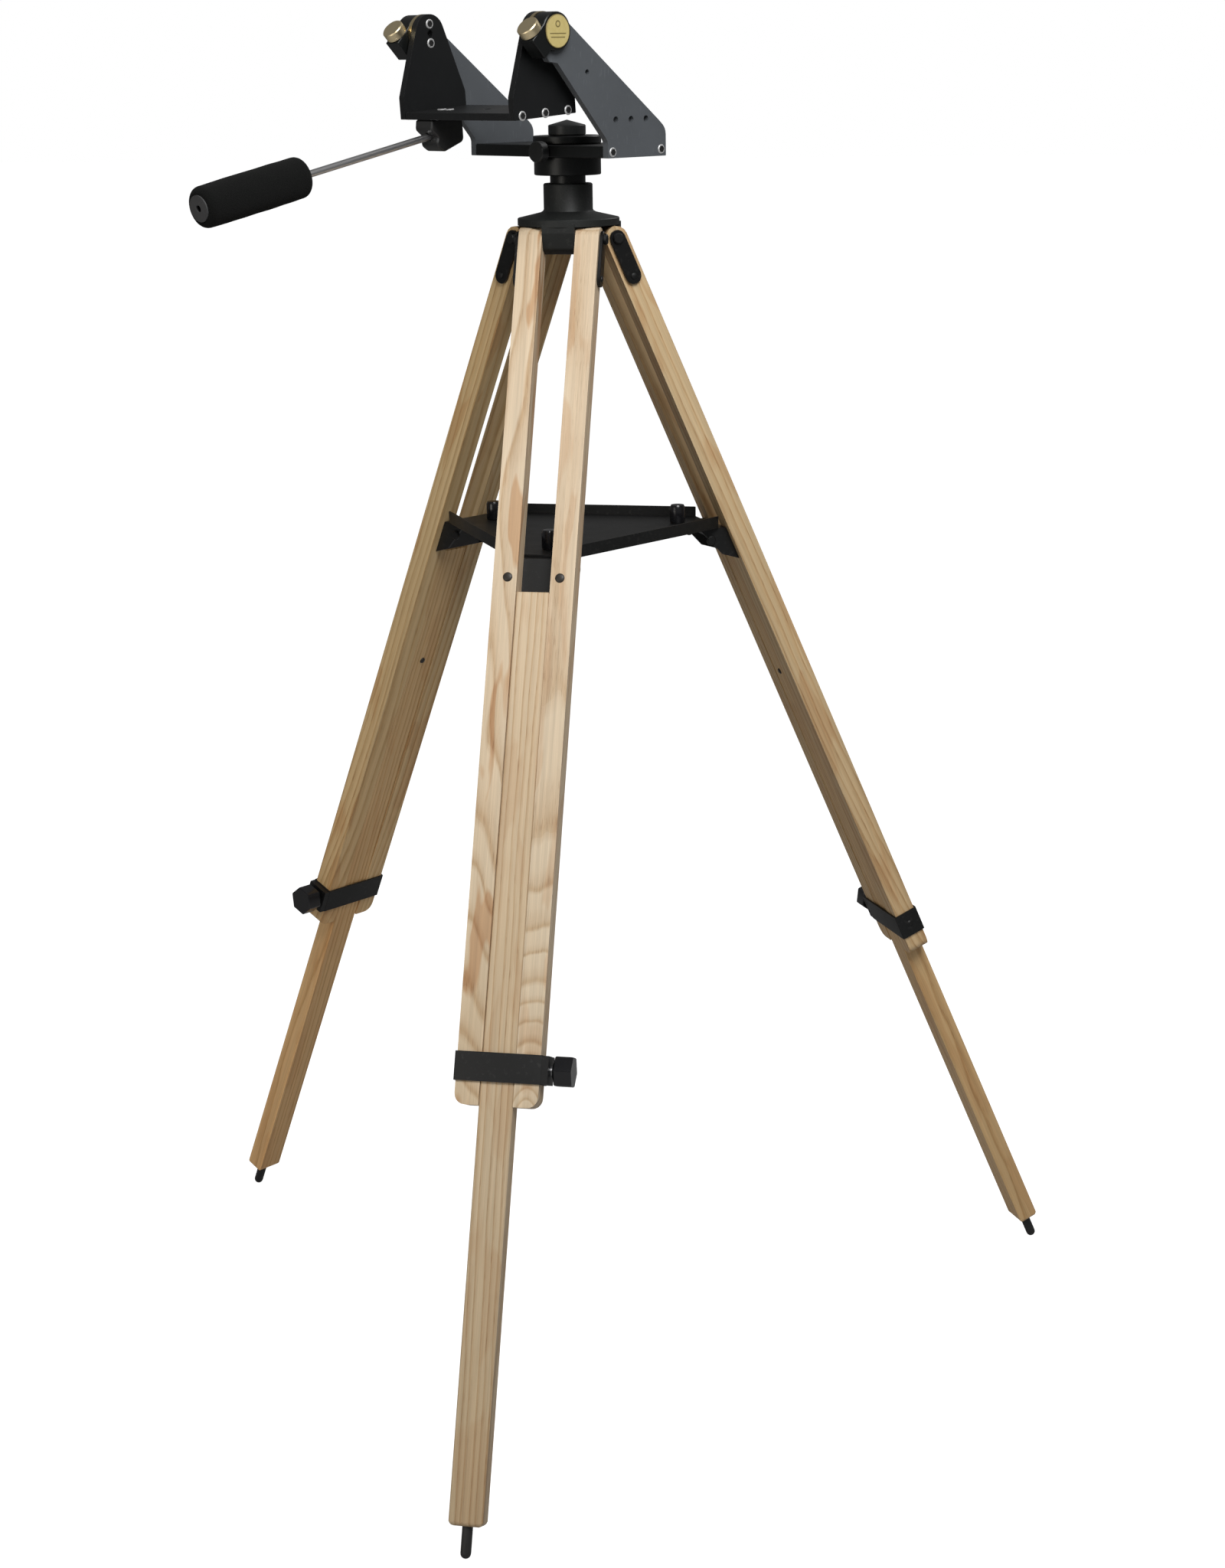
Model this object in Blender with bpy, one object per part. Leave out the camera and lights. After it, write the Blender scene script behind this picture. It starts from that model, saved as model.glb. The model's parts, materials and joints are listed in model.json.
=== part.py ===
"""Alt azimuth fork mount on a three-leg wooden tripod. Metres, +Z up, front leg towards -Y."""

import math

import bmesh
import bpy
from mathutils import Matrix, Vector

# Clearances
GAP = 0.0003

# Tripod, measured down each leg from its pivot bolt
SPLAY = math.radians(23.63)
LEG_REACH = 1.1723
LEG_W = 0.075
LEG_GAP = 0.031
RAIL_D = 0.0214
PIVOT_IN = 0.0236
RAIL_END = 0.792
RAIL_ROUND = 0.0095
LOWER_TOP = 0.333
LOWER_END = 1.1495
LOWER_D = 0.0200
FOOT_R = 0.00475
BOLT_R = 0.0039
PLATE_T = 0.003
PLATE_L = 0.038
PLATE_R = 0.0075
COLLAR_AT = 0.7583
COLLAR_H = 0.0257
COLLAR_NUT = 0.0056
COLLAR_T = 0.0016
CLAMP_STUD = 0.0037
CLAMP_R = 0.0149

# Hub
PIER_R = 0.0228
PIER_H = 0.025
FLANGE_R = 0.0473
FLANGE_T = 0.0064
SOCKET_R = 0.0120

# Tray
TRAY_DROP = 0.2769
TRAY_IN = 0.096
TRAY_REACH = 0.135
TRAY_RIM = 0.0112
TRAY_T = 0.002
TRAY_KNOB_OUT = 0.105
TRAY_STUD = 0.0025
BRACKET_T = 0.0025
BRACKET_HALF = 0.030

# Head
HEAD_TURN = math.radians(-33)
NECK_R = 0.0165
NECK_H = 0.0073
DRUM_R = 0.031
DRUM_H = 0.0172
SPINDLE_R = 0.006
BAR_T = 0.0106
BAR_HALF = 0.0375
ARM_IN = 0.0832
ARM_T = 0.0063
PIVOT_BACK = 0.1043
PIVOT_UP = 0.1100
HOUSING_R = 0.0165
HOUSING_OUT = 0.0956
SHAFT_R = 0.009
WASHER_T = 0.004
BOSS_TOP = 0.0152
BOSS_OUT = 0.0165

# Cradle, about its own pivot axis
TILT = math.radians(3.8)
CRADLE_IN = 0.068
CRADLE_T = 0.0063
CRADLE_HALF = 0.0377
CRADLE_DROP = 0.0725
CRADLE_R = 0.017
PLATFORM_T = 0.00635
BLOCK_AT = -0.045
ROD_R = 0.003175
DROOP = math.radians(7.2)
GRIP_FROM = 0.1505
GRIP_L = 0.113
GRIP_R = 0.018

# Derived heights
PIVOT_Z = FOOT_R + LEG_REACH * math.cos(SPLAY)
RIM_Z = PIVOT_Z + RAIL_D / 2 + 0.0007
PIER_Z = RIM_Z + FLANGE_T + 0.0062
TOP_Z = PIER_Z + PIER_H
HEAD_Z = TOP_Z + GAP + NECK_H + DRUM_H
TRAY_Z = PIVOT_Z - TRAY_DROP
PIVOT_OUT = PIVOT_IN + RAIL_D / 2
PLATE_OUT = LEG_W / 2 + GAP + PLATE_T

LEGS = {"front": -90, "right": 30, "left": 150}
SIDES = {"right": 1, "left": -1}


def clear_scene():
    for obj in list(bpy.data.objects):
        bpy.data.objects.remove(obj, do_unlink=True)


def material(name, colour, roughness, metallic):
    made = bpy.data.materials.new(name)
    made.use_nodes = True
    shader = made.node_tree.nodes["Principled BSDF"]
    shader.inputs["Base Color"].default_value = (*colour, 1)
    shader.inputs["Roughness"].default_value = roughness
    shader.inputs["Metallic"].default_value = metallic
    made.diffuse_color = (*colour, 1)
    return made


def make_materials():
    return {
        "wood": material("ash_wood", (0.74, 0.58, 0.39), 0.5, 0),
        "black": material("black_paint", (0.03, 0.03, 0.033), 0.45, 0),
        "grey": material("grey_anodised", (0.13, 0.14, 0.16), 0.4, 0.6),
        "dark": material("dark_anodised", (0.035, 0.037, 0.04), 0.35, 0.5),
        "brass": material("brass", (0.78, 0.60, 0.28), 0.25, 1),
        "steel": material("steel", (0.62, 0.62, 0.63), 0.25, 1),
        "plastic": material("black_plastic", (0.025, 0.025, 0.025), 0.4, 0),
        "foam": material("black_foam", (0.02, 0.02, 0.02), 0.9, 0),
        "cap": material("grey_plastic", (0.25, 0.25, 0.26), 0.5, 0),
    }


# Frames


def columns(x, y, z, at):
    frame = Matrix((x, y, z)).transposed().to_4x4()
    frame.translation = at
    return frame


def leg_frame(degrees):
    """X across the leg, Y out of its outer face, Z down the leg from its pivot."""
    turn = Matrix.Rotation(math.radians(degrees), 3, "Z")
    across = turn @ Vector((0, 1, 0))
    outward = turn @ Vector((math.cos(SPLAY), 0, math.sin(SPLAY)))
    down = turn @ Vector((math.sin(SPLAY), 0, -math.cos(SPLAY)))
    return columns(across, outward, down, turn @ Vector((PIVOT_OUT, 0, PIVOT_Z)))


def upright_frame(degrees):
    """X across, Y away from the tripod's axis, Z up."""
    return Matrix.Rotation(math.radians(degrees - 90), 4, "Z")


def head_frame():
    return Matrix.Translation((0, 0, HEAD_Z)) @ Matrix.Rotation(HEAD_TURN, 4, "Z")


def cradle_frame():
    pivot = Matrix.Translation((0, -PIVOT_BACK, PIVOT_UP))
    return head_frame() @ pivot @ Matrix.Rotation(TILT, 4, "X")


def handle_frame():
    start = Matrix.Translation((BLOCK_AT, -0.0330, -CRADLE_DROP - 0.0155))
    return cradle_frame() @ start @ Matrix.Rotation(math.pi / 2 + DROOP, 4, "X")


def toward_x(frame, at=(0, 0, 0), sign=1):
    """A frame whose Z points along the given frame's X."""
    return frame @ Matrix.Translation(at) @ Matrix.Rotation(sign * math.pi / 2, 4, "Y")


# Outlines


def circle(x, y, radius, steps=16):
    turns = [math.tau * k / steps for k in range(steps)]
    return [(x + radius * math.cos(t), y + radius * math.sin(t)) for t in turns]


def arc(x, y, radius, first, last, steps):
    turns = [math.radians(first + (last - first) * k / steps) for k in range(steps + 1)]
    return [(x + radius * math.cos(t), y + radius * math.sin(t)) for t in turns]


def fillet(before, here, after, radius, steps):
    """The points of an arc that rounds one corner."""
    back = (before - here).normalized()
    ahead = (after - here).normalized()
    half = back.angle(ahead) / 2
    centre = here + (back + ahead).normalized() * radius / math.sin(half)
    start = here + back * radius / math.tan(half) - centre
    end = here + ahead * radius / math.tan(half) - centre
    turn = math.atan2(start.x * end.y - start.y * end.x, start.dot(end))
    spun = [Matrix.Rotation(turn * k / steps, 2) @ start for k in range(steps + 1)]
    return [tuple(centre + point) for point in spun]


def rounded(corners, steps=4):
    """An outline from (x, y, radius) corners."""
    points = []
    for k, (x, y, radius) in enumerate(corners):
        if radius == 0:
            points.append((x, y))
            continue
        before = Vector(corners[k - 1][:2])
        after = Vector(corners[(k + 1) % len(corners)][:2])
        points += fillet(before, Vector((x, y)), after, radius, steps)
    return points


def rectangle(half_x, half_y, radius=0.0):
    corners = [(-half_x, -half_y), (half_x, -half_y), (half_x, half_y), (-half_x, half_y)]
    return rounded([(x, y, radius) for x, y in corners], 3)


# Solids


def prism(outlines, low, high, along="Z"):
    """The first outline with the others as holes. Along X the outlines are read as (y, z)."""
    mesh = bmesh.new()
    for outline in outlines:
        ring = [mesh.verts.new((x, y, low)) for x, y in outline]
        for pair in zip(ring, ring[1:] + ring[:1]):
            mesh.edges.new(pair)
    if len(outlines) == 1:
        mesh.faces.new(ring)
    else:
        bmesh.ops.triangle_fill(mesh, use_beauty=True, edges=mesh.edges[:])
    raised = bmesh.ops.extrude_face_region(mesh, geom=mesh.faces[:])["geom"]
    moved = [item for item in raised if isinstance(item, bmesh.types.BMVert)]
    bmesh.ops.translate(mesh, verts=moved, vec=(0, 0, high - low))
    if along == "X":
        swap = Matrix(((0, 0, 1), (1, 0, 0), (0, 1, 0))).to_4x4()
        bmesh.ops.transform(mesh, matrix=swap, verts=mesh.verts)
    bmesh.ops.recalc_face_normals(mesh, faces=mesh.faces)
    return mesh


def turned(profile, steps=32, closed=False):
    """A lathe part from (radius, height) points about Z."""
    mesh = bmesh.new()
    verts = [mesh.verts.new((radius, 0, height)) for radius, height in profile]
    pairs = list(zip(verts, verts[1:]))
    if closed:
        pairs.append((verts[-1], verts[0]))
    edges = [mesh.edges.new(pair) for pair in pairs]
    bmesh.ops.spin(
        mesh, geom=verts + edges, cent=(0, 0, 0), axis=(0, 0, 1),
        angle=math.tau, steps=steps, use_merge=True,
    )
    bmesh.ops.remove_doubles(mesh, verts=mesh.verts, dist=1e-6)
    bmesh.ops.recalc_face_normals(mesh, faces=mesh.faces)
    return mesh


def add(name, solid, frame, surface, bevel=0.0, segments=1, smooth=True):
    data = bpy.data.meshes.new(name)
    solid.to_mesh(data)
    solid.free()
    for face in data.polygons:
        face.use_smooth = smooth
    data.set_sharp_from_angle(angle=math.radians(32))
    data.materials.append(surface)
    obj = bpy.data.objects.new(name, data)
    obj.matrix_world = frame
    bpy.context.scene.collection.objects.link(obj)
    if bevel:
        edge = obj.modifiers.new("edges", "BEVEL")
        edge.width = bevel
        edge.segments = segments
        edge.limit_method = "ANGLE"
        edge.angle_limit = math.radians(40)
        edge.harden_normals = smooth
    return obj


def combine(obj, solid, frame, operation):
    """Adds or cuts a hidden helper solid."""
    data = bpy.data.meshes.new(obj.name + "_helper")
    solid.to_mesh(data)
    solid.free()
    helper = bpy.data.objects.new(data.name, data)
    helper.matrix_world = frame
    helper.hide_render = True
    helper.display_type = "WIRE"
    bpy.context.scene.collection.objects.link(helper)
    boolean = obj.modifiers.new(operation.lower(), "BOOLEAN")
    boolean.operation = operation
    boolean.solver = "EXACT"
    boolean.object = helper


# Tripod


def hub_profile():
    slope = PIER_Z - RIM_Z
    return [
        (0, TOP_Z - 0.022),
        (SOCKET_R + GAP, TOP_Z - 0.022),
        (SOCKET_R + GAP, TOP_Z),
        (PIER_R - 0.0010, TOP_Z),
        (PIER_R, TOP_Z - 0.0010),
        (PIER_R, PIER_Z + 0.0015),
        (PIER_R + 0.0008, PIER_Z),
        (PIER_R + 0.0032, PIER_Z - 0.0013),
        (FLANGE_R - 0.0006, RIM_Z + slope / 2 + 0.0002),
        (FLANGE_R, RIM_Z + slope / 2 - 0.0005),
        (FLANGE_R, RIM_Z),
        (0.020, RIM_Z),
        (0.020, PIVOT_Z - 0.012),
        (0, PIVOT_Z - 0.012),
    ]


def lug_outline():
    corners = [
        (0.010, 0.0140, 0),
        (0.0462, 0.0140, 0),
        (0.0462, 0.0060, 0.004),
        (0.0420, -0.0090, 0.006),
        (0.0340, -0.0140, 0.006),
        (0.010, -0.0100, 0),
    ]
    return rounded([(y, PIVOT_Z + z, radius) for y, z, radius in corners])


def add_hub(look):
    hub = add("hub", turned(hub_profile(), 36), Matrix(), look["black"])
    hole = circle(PIVOT_OUT, PIVOT_Z, BOLT_R + GAP)
    half = LEG_GAP / 2 - GAP
    for degrees in LEGS.values():
        lug = prism([lug_outline(), hole], -half, half, "X")
        combine(hub, lug, upright_frame(degrees), "UNION")


def rail_outline():
    half = RAIL_D / 2
    return arc(0, 0, half, 180, 360, 8) + [(half, RAIL_END), (-half, RAIL_END)]


def add_rails(side, frame, look):
    hole = circle(0, 0, BOLT_R + GAP, 12)
    for letter, sign in (("a", -1), ("b", 1)):
        inner, outer = sorted((sign * LEG_GAP / 2, sign * LEG_W / 2))
        solid = prism([rail_outline(), hole], inner, outer, "X")
        edge = sign * LEG_W / 2
        corner = [e for e in solid.edges
                  if all(abs(v.co.x - edge) < 1e-5 and v.co.z > RAIL_END - 1e-5 for v in e.verts)]
        bmesh.ops.bevel(solid, geom=corner, offset=RAIL_ROUND, segments=5, profile=0.5, affect="EDGES")
        add(f"rail_{side}_{letter}", solid, frame, look["wood"], 0.0012)


def add_pivot(side, frame, look):
    """The two oblong plates and the bolt through everything."""
    outline = arc(0, 0, PLATE_R, 180, 360, 6) + arc(0, PLATE_L, PLATE_R, 0, 180, 6)
    hole = circle(0, 0, BOLT_R + GAP, 12)
    for letter, sign in (("a", -1), ("b", 1)):
        low, high = sorted((sign * (LEG_W / 2 + GAP), sign * PLATE_OUT))
        solid = prism([outline, hole], low, high, "X")
        add(f"pivot_plate_{side}_{letter}", solid, frame, look["black"], 0.0004)
    under = PLATE_OUT + GAP
    half = [(BOLT_R, under), (0.005, under), (0.005, under + 0.002), (0.0042, under + 0.0028)]
    profile = [(radius, -z) for radius, z in reversed(half)] + half
    ends = [(0, profile[0][1])] + profile + [(0, profile[-1][1])]
    add(f"pivot_bolt_{side}", turned(ends, 12), toward_x(frame), look["black"])


def add_lower_leg(side, frame, look):
    half = LEG_GAP / 2 - GAP
    solid = prism([rectangle(half, LOWER_D / 2)], LOWER_TOP, LOWER_END)
    end = [e for e in solid.edges if all(v.co.z > LOWER_END - 1e-5 for v in e.verts)]
    bmesh.ops.bevel(solid, geom=end, offset=0.004, segments=2, profile=0.5, affect="EDGES")
    add(f"lower_leg_{side}", solid, frame, look["wood"], 0.0010)
    tip = [(FOOT_R * math.cos(math.radians(t)), LEG_REACH + FOOT_R * math.sin(math.radians(t)))
           for t in range(0, 90, 22)]
    profile = [(0, LOWER_END + GAP), (FOOT_R, LOWER_END + GAP)] + tip
    profile.append((0, LEG_REACH + FOOT_R))
    add(f"foot_{side}", turned(profile, 16), frame, look["plastic"])


def add_clamp(side, frame, look):
    """The metal collar round both rails, and the knob that pinches it."""
    inner = (LEG_W / 2 + GAP, RAIL_D / 2 + GAP)
    outer = (inner[0] + COLLAR_T, inner[1] + COLLAR_T)
    low = COLLAR_AT - COLLAR_H / 2
    band = [rectangle(*outer, 0.0015), rectangle(*inner)]
    collar = add(f"collar_{side}", prism(band, low, low + COLLAR_H), frame, look["black"])
    at_knob = toward_x(frame, (0, 0, COLLAR_AT))
    nut = rectangle(COLLAR_NUT / 2 + 0.0004, outer[1] - 0.0004)
    at_nut = frame @ Matrix.Translation((outer[0] + COLLAR_NUT / 2 - 0.0004, 0, 0))
    combine(collar, prism([nut], low + 0.0004, low + COLLAR_H - 0.0004), at_nut, "UNION")
    face = outer[0] + COLLAR_NUT
    drill = [(0, inner[0] - 0.004), (CLAMP_STUD + GAP, inner[0] - 0.004),
             (CLAMP_STUD + GAP, face + 0.002), (0, face + 0.002)]
    combine(collar, turned(drill, 16), at_knob, "DIFFERENCE")
    corners = [(math.radians(turn), CLAMP_R) for turn in range(30, 390, 60)]
    hexagon = rounded([(r * math.cos(t), r * math.sin(t), 0.0015) for t, r in corners], 2)
    knob = add(f"clamp_knob_{side}", prism([hexagon], face + 0.0045, face + 0.0206), at_knob, look["plastic"], 0.0008)
    stud = [
        (0, inner[0] + 0.001), (CLAMP_STUD, inner[0] + 0.001), (CLAMP_STUD, face + 0.0025),
        (0.0075, face + 0.0025), (0.0105, face + 0.0050), (0, face + 0.0050),
    ]
    combine(knob, turned(stud, 16), at_knob, "UNION")


def inner_face(height):
    """How far the inner face of a leg is from the tripod's axis at this height."""
    return PIVOT_OUT + (PIVOT_Z - height) * math.tan(SPLAY) - RAIL_D / 2 / math.cos(SPLAY)


def bracket_outline(inset):
    """The side view of a tray bracket, set in from its edges by the wall thickness."""
    top = TRAY_Z - GAP - inset
    low = TRAY_Z - 0.0311
    back = GAP / math.cos(SPLAY) + inset
    return [
        (0.1190 + inset * 2, top),
        (0.1190 + inset * 1, top - 0.0030),
        (inner_face(low + 0.005) - 0.0150, low + 0.0050 - inset * 2),
        (inner_face(low) - back, low - inset),
        (inner_face(top) - back, top),
    ]


def add_bracket(side, degrees, look):
    frame = upright_frame(degrees)
    solid = prism([bracket_outline(0)], -BRACKET_HALF, BRACKET_HALF, "X")
    bracket = add(f"tray_bracket_{side}", solid, frame, look["black"])
    half = BRACKET_HALF - BRACKET_T
    combine(bracket, prism([bracket_outline(BRACKET_T)], -half, half, "X"), frame, "DIFFERENCE")
    top = TRAY_Z - GAP
    shelf = [(0.094, top - BRACKET_T), (0.130, top - BRACKET_T), (0.130, top), (0.094, top)]
    combine(bracket, prism([shelf], -0.014, 0.014, "X"), frame, "UNION")
    drill = turned([(0, top - 0.004), (TRAY_STUD + GAP, top - 0.004),
                    (TRAY_STUD + GAP, top + 0.002), (0, top + 0.002)], 12)
    combine(bracket, drill, frame @ Matrix.Translation((0, TRAY_KNOB_OUT, 0)), "DIFFERENCE")


def tray_outline():
    """A triangle with its corners cut off where the legs are."""
    half = (2 * TRAY_IN - TRAY_REACH) * math.tan(math.radians(30))
    corners = []
    for degrees in sorted(LEGS.values()):
        out = math.radians(degrees)
        for sign in (-1, 1):
            x = TRAY_REACH * math.cos(out) - sign * half * math.sin(out)
            y = TRAY_REACH * math.sin(out) + sign * half * math.cos(out)
            corners.append((x, y, 0.002))
    return rounded(corners, 2)


def tray_inside():
    """The whole triangle inside the three rims, which leaves the tray open at its corners."""
    far = 2 * (TRAY_IN - TRAY_T)
    turns = [math.radians(degrees) for degrees in sorted(LEGS.values())]
    return [(far * math.cos(turn), far * math.sin(turn)) for turn in turns]


def add_tray(look):
    tray = add("tray", prism([tray_outline()], TRAY_Z, TRAY_Z + TRAY_RIM), Matrix(), look["black"])
    inside = prism([tray_inside()], TRAY_Z + TRAY_T, TRAY_Z + TRAY_RIM + 0.001)
    combine(tray, inside, Matrix(), "DIFFERENCE")
    for side, degrees in LEGS.items():
        at_knob = upright_frame(degrees) @ Matrix.Translation((0, TRAY_KNOB_OUT, TRAY_Z))
        drill = [(0, -0.002), (TRAY_STUD + GAP, -0.002), (TRAY_STUD + GAP, 0.004), (0, 0.004)]
        combine(tray, turned(drill, 12), at_knob, "DIFFERENCE")
        base = TRAY_T + GAP
        knob = [
            (0, -0.006), (TRAY_STUD, -0.006), (TRAY_STUD, base), (0.0068, base),
            (0.0074, base + 0.0015), (0.0074, base + 0.0150), (0.0062, base + 0.0175), (0, base + 0.0182),
        ]
        add(f"tray_knob_{side}", turned(knob, 20), at_knob, look["plastic"])


# Head


def add_azimuth(look):
    base = [
        (0, -DRUM_H - NECK_H - 0.020), (SOCKET_R, -DRUM_H - NECK_H - 0.020),
        (SOCKET_R, -DRUM_H - NECK_H), (NECK_R, -DRUM_H - NECK_H), (NECK_R, -DRUM_H),
        (DRUM_R - 0.0008, -DRUM_H), (DRUM_R, -DRUM_H + 0.0008), (DRUM_R, -0.0011),
        (DRUM_R - 0.0008, -GAP), (SPINDLE_R, -GAP), (SPINDLE_R, 0.026), (0, 0.026),
    ]
    frame = head_frame()
    add("azimuth_base", turned(base, 36), frame, look["dark"])
    length = ARM_IN - GAP
    bore = circle(0, 0, SPINDLE_R + GAP, 24)
    bar = add("fork_base", prism([rectangle(length, BAR_HALF), bore], 0, BAR_T), frame, look["dark"], 0.0005)
    knob_at = frame @ Matrix.Translation((0.006, -BAR_HALF, 0.0047))
    knob_at = knob_at @ Matrix.Rotation(math.pi / 2, 4, "X")
    drill = [(0, -0.009), (0.0033, -0.009), (0.0033, 0.002), (0, 0.002)]
    combine(bar, turned(drill, 12), knob_at, "DIFFERENCE")
    side = [
        (0, -0.008), (0.003, -0.008), (0.003, GAP), (0.0088, GAP), (0.0095, 0.001),
        (0.0095, 0.0085), (0.0088, 0.0095), (0, 0.0095),
    ]
    add("azimuth_brake_knob", turned(side, 24), knob_at, look["plastic"])
    low = BAR_T + GAP
    high = low + 0.0072
    disc = [(SPINDLE_R + GAP, low), (0.0307, low), (0.0315, low + 0.0008), (0.0315, high - 0.0008),
            (0.0307, high), (SPINDLE_R + GAP, high)]
    add("azimuth_disc", turned(disc, 36, closed=True), frame, look["dark"])
    low = high + GAP
    knob = [
        (0, 0.0268), (SPINDLE_R + GAP, 0.0268), (SPINDLE_R + GAP, low), (0.0165, low),
        (0.0173, low + 0.0008), (0.0173, low + 0.0086), (0.0165, low + 0.0093), (0, low + 0.0138),
    ]
    add("azimuth_top_knob", turned(knob, 32), frame, look["plastic"])


def boss_point(along, out):
    """A point near the pivot, measured along the brake screw and away from the pivot across it."""
    return ((-along - out) * math.sqrt(0.5), (along - out) * math.sqrt(0.5))


def arm_outline():
    """The side view of a fork arm about the cradle's pivot, open round the bearing housing."""
    hug = arc(0, 0, HOUSING_R + GAP, 247.6, 380, 14)
    foot = -PIVOT_UP
    front = PIVOT_BACK - BAR_HALF
    rear = PIVOT_BACK + BAR_HALF
    edge = [
        (0.0196, 0.0071, 0),
        (rear - 0.0085, foot + 0.0315, 0.012),
        (rear, foot + 0.0245, 0.012),
        (rear, foot, 0.0008),
        (front, foot, 0.0008),
        (front, foot + 0.0150, 0.008),
        (0.0058, -0.0269, 0.001),
        (-0.0042, -0.0256, 0.001),
        (-0.0096, -0.0187, 0),
    ]
    return hug + rounded(edge)


def arm_holes():
    rows = [(-0.027, 0.0332), (-0.0075, 0.0332), (0.0118, 0.0332)]
    holes = [circle(PIVOT_BACK + y, z - PIVOT_UP, 0.0032, 12) for y, z in rows]
    return holes + [circle(0.0421, -0.0350, 0.0025, 12)]


def housing_outline():
    ring = arc(0, 0, HOUSING_R, 246.7, 517.8, 26)
    corner = [boss_point(BOSS_TOP, BOSS_OUT + 0.010), boss_point(-0.0061, BOSS_OUT + 0.010)]
    return ring + corner


def add_fork_side(side, sign, look):
    pivot = head_frame() @ Matrix.Translation((0, -PIVOT_BACK, PIVOT_UP))
    low, high = sorted((sign * ARM_IN, sign * (ARM_IN + ARM_T)))
    arm = prism([arm_outline()] + arm_holes(), low, high, "X")
    add(f"fork_arm_{side}", arm, pivot, look["grey"], 0.0004)
    inside = CRADLE_IN + CRADLE_T + GAP
    face = inside + WASHER_T + GAP
    low, high = sorted((sign * face, sign * HOUSING_OUT))
    housing = add(f"housing_{side}", prism([housing_outline()], low, high, "X"), pivot, look["dark"], 0.0006)
    outward = toward_x(pivot, sign=sign)
    bore = [(0, face - 0.002), (SHAFT_R + GAP, face - 0.002), (SHAFT_R + GAP, 0.0920), (0, 0.0920)]
    combine(housing, turned(bore, 24), outward, "DIFFERENCE")
    ring = [(SHAFT_R + GAP, inside), (HOUSING_R + 0.0005, inside), (HOUSING_R + 0.0005, inside + WASHER_T),
            (SHAFT_R + GAP, inside + WASHER_T)]
    add(f"thrust_washer_{side}", turned(ring, 32, closed=True), outward, look["brass"])
    y, z = boss_point(BOSS_TOP, BOSS_OUT)
    knob_at = pivot @ Matrix.Translation((sign * (face + HOUSING_OUT) / 2, y, z))
    knob_at = knob_at @ Matrix.Rotation(math.radians(45), 4, "X")
    combine(housing, turned([(0, -0.009), (0.0033, -0.009), (0.0033, 0.002), (0, 0.002)], 12), knob_at,
            "DIFFERENCE")
    knob = [
        (0, -0.008), (0.003, -0.008), (0.003, GAP), (0.0093, GAP), (0.0101, 0.0011),
        (0.0101, 0.0078), (0.0093, 0.0086), (0, 0.0086),
    ]
    add(f"altitude_brake_knob_{side}", turned(knob, 32), knob_at, look["brass"])


def cradle_outline():
    corner = Vector((CRADLE_HALF, 0.0195 - CRADLE_DROP))
    tangent = math.degrees(math.acos(CRADLE_R / corner.length) + math.atan2(corner.y, corner.x))
    top = arc(0, 0, CRADLE_R, tangent, 180 - tangent, 14)
    low = [
        (-CRADLE_HALF, corner.y, 0.006), (-CRADLE_HALF, -CRADLE_DROP, 0.001),
        (CRADLE_HALF, -CRADLE_DROP, 0.001), (CRADLE_HALF, corner.y, 0.006),
    ]
    ends = [(*top[-1], 0)] + low + [(*top[0], 0)]
    return top[1:-1] + rounded(ends)


def add_cradle_side(side, sign, look):
    frame = cradle_frame()
    low, high = sorted((sign * CRADLE_IN, sign * (CRADLE_IN + CRADLE_T)))
    plate = prism([cradle_outline(), circle(0, 0, 0.0032, 12)], low, high, "X")
    add(f"cradle_plate_{side}", plate, frame, look["dark"], 0.0004)
    inside = CRADLE_IN + CRADLE_T + GAP
    shaft = [(0, inside), (SHAFT_R, inside), (SHAFT_R, 0.0905), (SHAFT_R - 0.0008, 0.0913), (0, 0.0913)]
    add(f"altitude_shaft_{side}", turned(shaft, 24), toward_x(frame, sign=sign), look["steel"])


def block_outline():
    top = -CRADLE_DROP - GAP
    corners = [
        (0.0010, top, 0), (0.0010, top - 0.0215, 0.005), (-0.0240, top - 0.0292, 0.006),
        (-0.0330, top - 0.0225, 0.005), (-0.0300, top - 0.0155, 0.002), (-0.0380, top - 0.0085, 0.004),
        (-0.0365, top, 0),
    ]
    return rounded(corners)


def add_platform(look):
    frame = cradle_frame()
    low = -CRADLE_DROP
    plate = [rectangle(CRADLE_IN - GAP, CRADLE_HALF), circle(0, 0, 0.0033, 12)]
    add("platform", prism(plate, low, low + PLATFORM_T), frame, look["dark"], 0.0004)
    block = prism([block_outline()], BLOCK_AT - 0.0112, BLOCK_AT + 0.0112, "X")
    block = add("handle_block", block, frame, look["plastic"], 0.0012)
    socket = [(0, -0.016), (ROD_R + GAP, -0.016), (ROD_R + GAP, 0.010), (0, 0.010)]
    combine(block, turned(socket, 16), handle_frame(), "DIFFERENCE")


def add_handle(look):
    frame = handle_frame()
    end = GRIP_FROM + GRIP_L
    rod = [(0, -0.015), (ROD_R, -0.015), (ROD_R, end - 0.004), (0, end - 0.004)]
    add("handle_rod", turned(rod, 20), frame, look["steel"])
    round_r = 0.006
    far = arc(GRIP_R - round_r, GRIP_FROM + round_r, round_r, -90, 0, 3)
    near = arc(GRIP_R - round_r, end - round_r, round_r, 0, 90, 3)
    foam = [(ROD_R + GAP, GRIP_FROM)] + far + near + [(ROD_R + GAP, end)]
    add("foam_grip", turned(foam, 24, closed=True), frame, look["foam"])
    low = end + GAP
    cap = [(0.0030, low), (0.0115, low), (0.0115, low + 0.0012), (0.0030, low + 0.0012)]
    add("grip_end", turned(cap, 24, closed=True), frame, look["cap"])


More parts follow.
